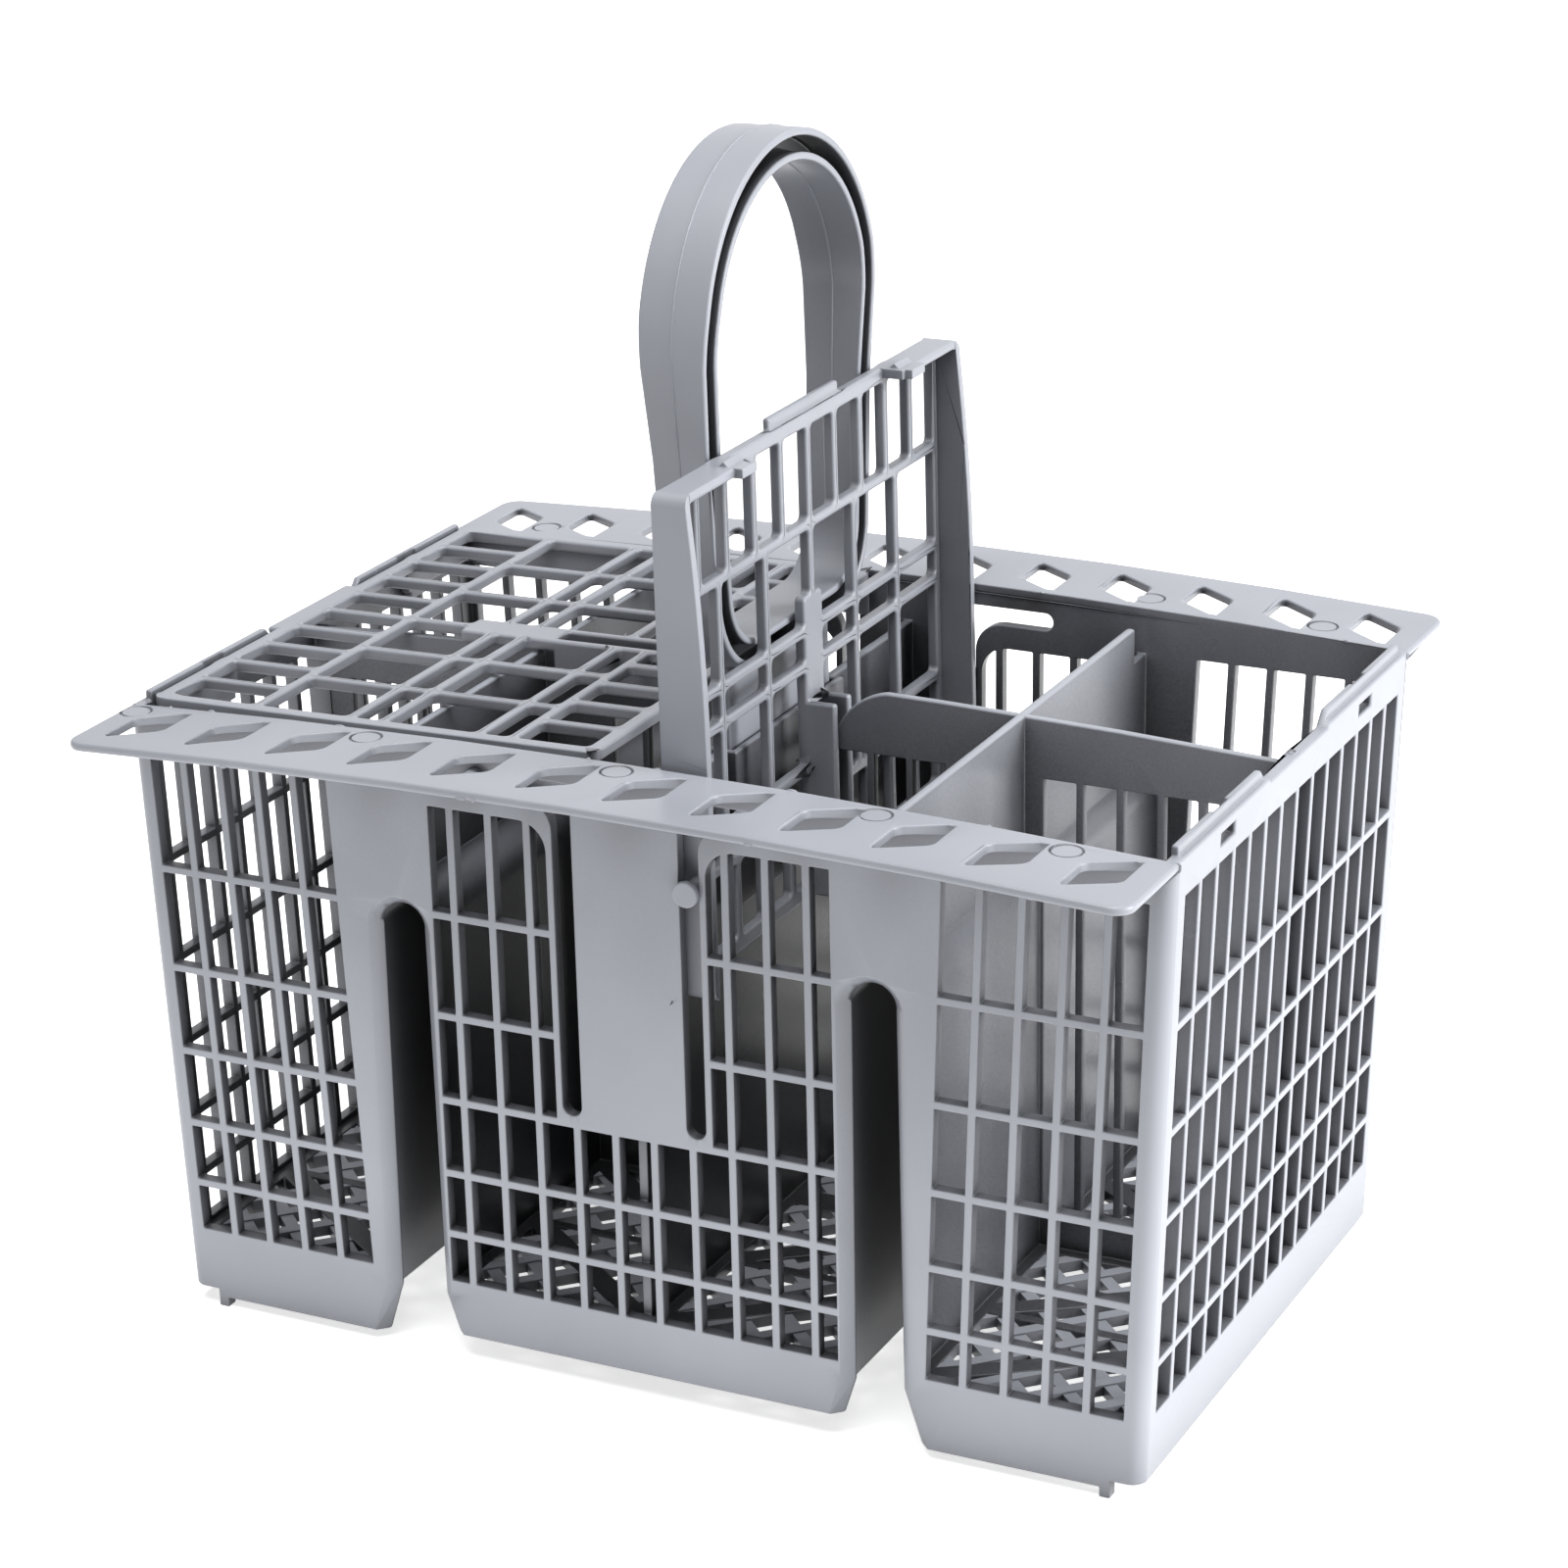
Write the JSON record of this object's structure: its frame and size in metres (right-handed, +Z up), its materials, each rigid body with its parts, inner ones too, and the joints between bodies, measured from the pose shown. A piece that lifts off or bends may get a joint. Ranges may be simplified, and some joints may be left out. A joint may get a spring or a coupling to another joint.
{
  "type": "dishwasher cutlery basket",
  "caption": "Grey plastic cutlery basket for a dishwasher, with grid walls, side flanges, a loop handle and hinged grid lids, one of them open.",
  "frame": {"origin": "on the floor under the middle of the basket", "axes": "+X along the basket towards the open lid, +Y from front to back, +Z up"},
  "size_m": [0.2128, 0.1708, 0.2316],
  "materials": {
    "grey_plastic": "satin"
  },
  "bodies": {
    "basket": {"basket_body": "grey_plastic", "carry_handle": "grey_plastic"},
    "left_lid": {"left_lid": "grey_plastic"},
    "right_lid": {"right_lid": "grey_plastic"}
  },
  "joints": [
    {"name": "left_lid_hinge", "type": "hinge", "parent": "basket", "child": "left_lid", "pos_m": [-0.0302, 0, 0.1213], "axis": [0, 1, 0], "range_deg": [0, 90]},
    {"name": "right_lid_slide", "type": "slide", "parent": "basket", "child": "right_lid", "axis": [0, 0, 1], "range_m": [-0.047, 0.0155]}
  ]
}
